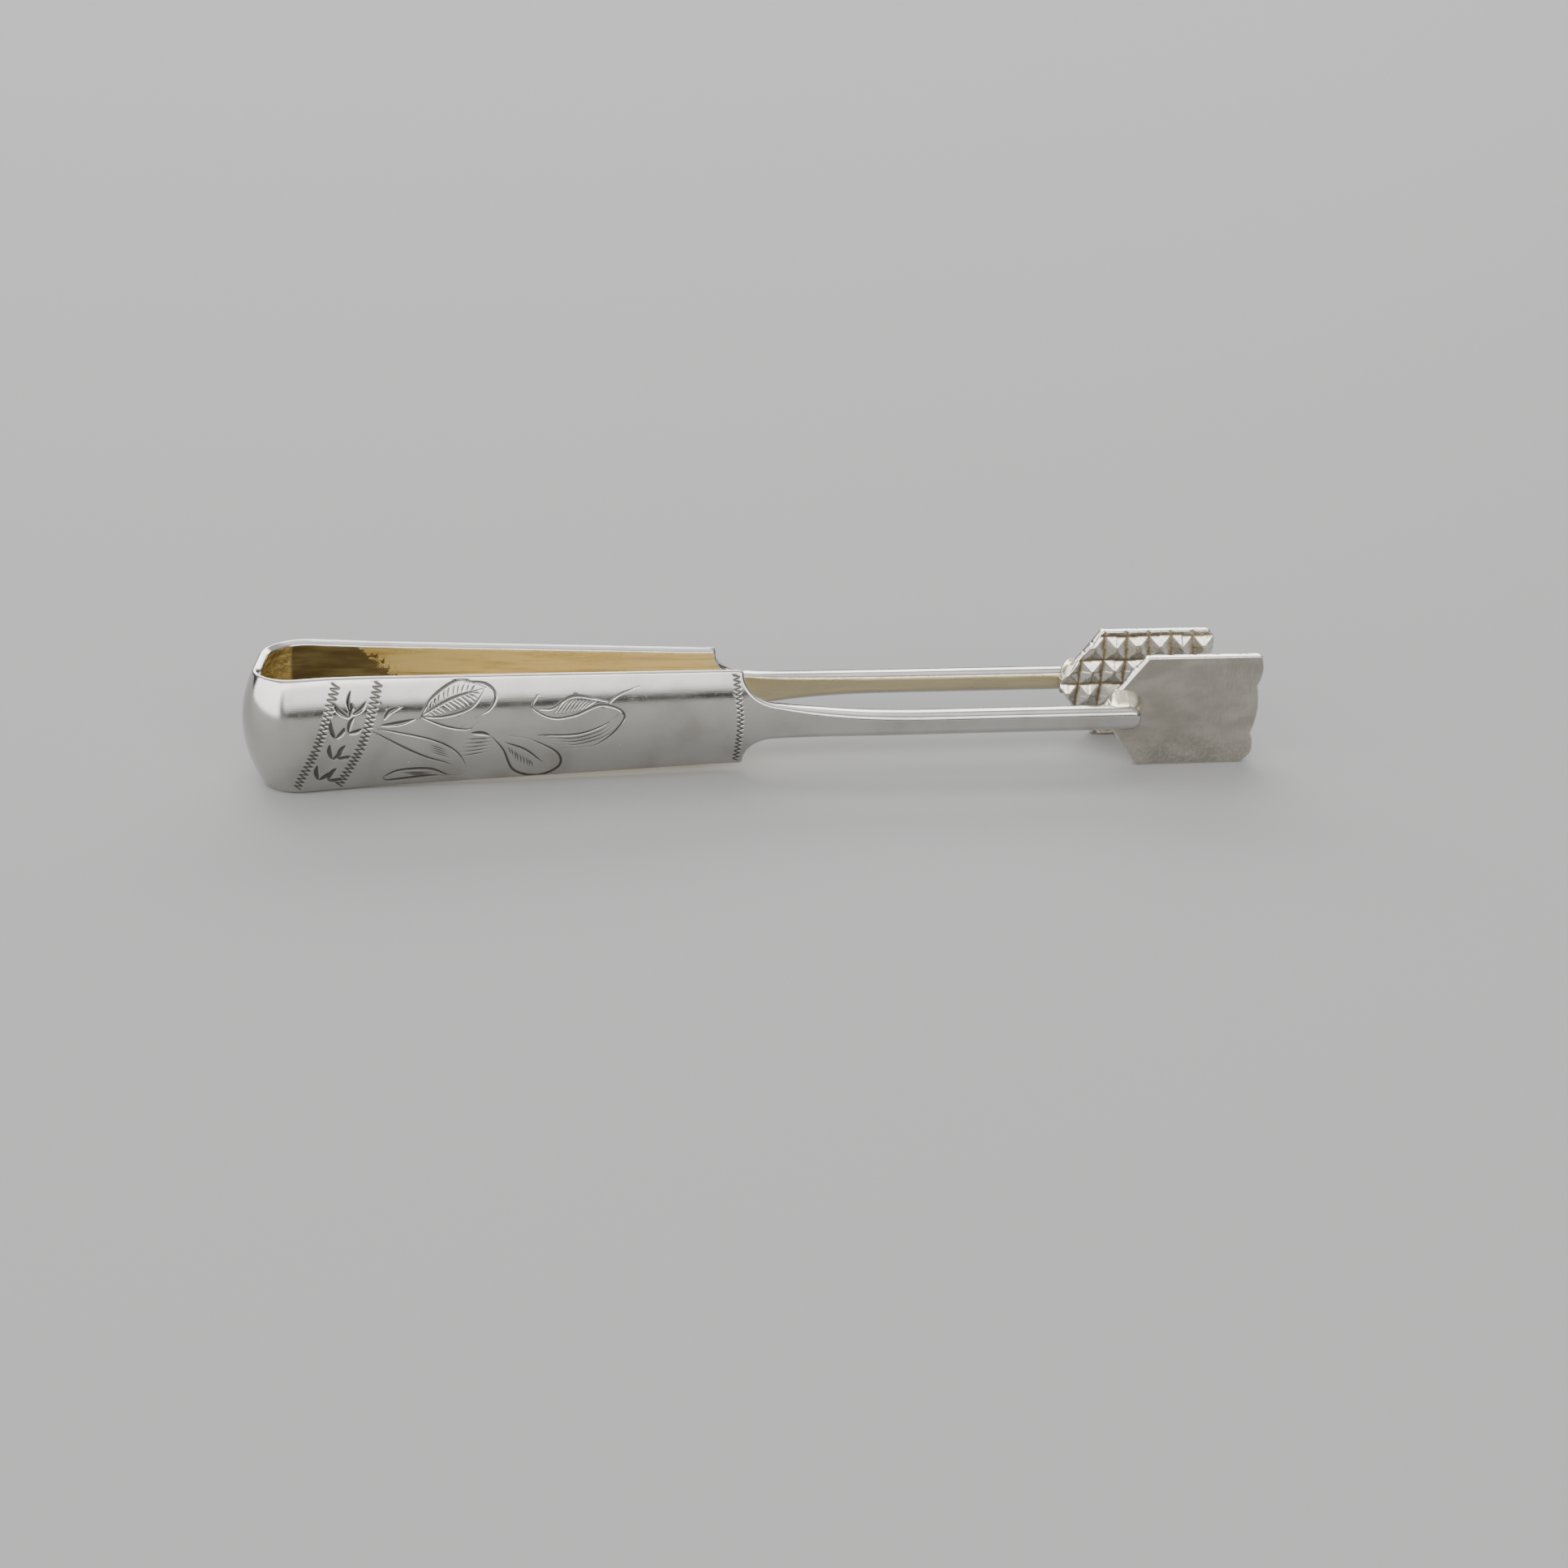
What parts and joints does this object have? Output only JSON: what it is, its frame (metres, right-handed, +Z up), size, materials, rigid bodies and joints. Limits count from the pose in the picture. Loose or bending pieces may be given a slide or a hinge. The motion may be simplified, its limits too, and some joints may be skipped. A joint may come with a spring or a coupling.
{
  "type": "ice tongs",
  "caption": "Sprung ice tongs of crowned, engraved silver strip, with slender stems that end in toothed grip plates; the bow flexes to close the jaws",
  "frame": {"origin": "middle of the bottom face of the bounding box, on the surface the tongs lie on", "axes": "+X from the bow to the jaws, +Y from the right arm to the left arm, +Z up across the strip's width"},
  "size_m": [0.1688, 0.0248, 0.0195],
  "materials": {
    "silver": "polished, hand engraved outside, warm tarnish inside",
    "grip_silver": "satin, worn",
    "solder": "smooth, slightly yellow"
  },
  "bodies": {
    "bow": {"bow": "silver"},
    "right_arm": {"right_arm": "silver", "right_grip_plate": "grip_silver", "right_solder": "solder"},
    "left_arm": {"left_arm": "silver", "left_grip_plate": "grip_silver", "left_solder": "solder"}
  },
  "joints": [
    {"name": "right_flex", "type": "hinge", "parent": "bow", "child": "right_arm", "pos_m": [-0.07402, -0.0104, 0.00975], "axis": [0, 0, 1], "range_deg": [0, 1.85], "stiffness_Nm_per_rad": 5},
    {"name": "left_flex", "type": "hinge", "parent": "bow", "child": "left_arm", "pos_m": [-0.07402, 0.0104, 0.00975], "axis": [0, 0, -1], "range_deg": [0, 1.85], "stiffness_Nm_per_rad": 5}
  ],
  "couplings": [
    {"joint": "left_flex", "follows": "right_flex", "ratio": 1}
  ]
}
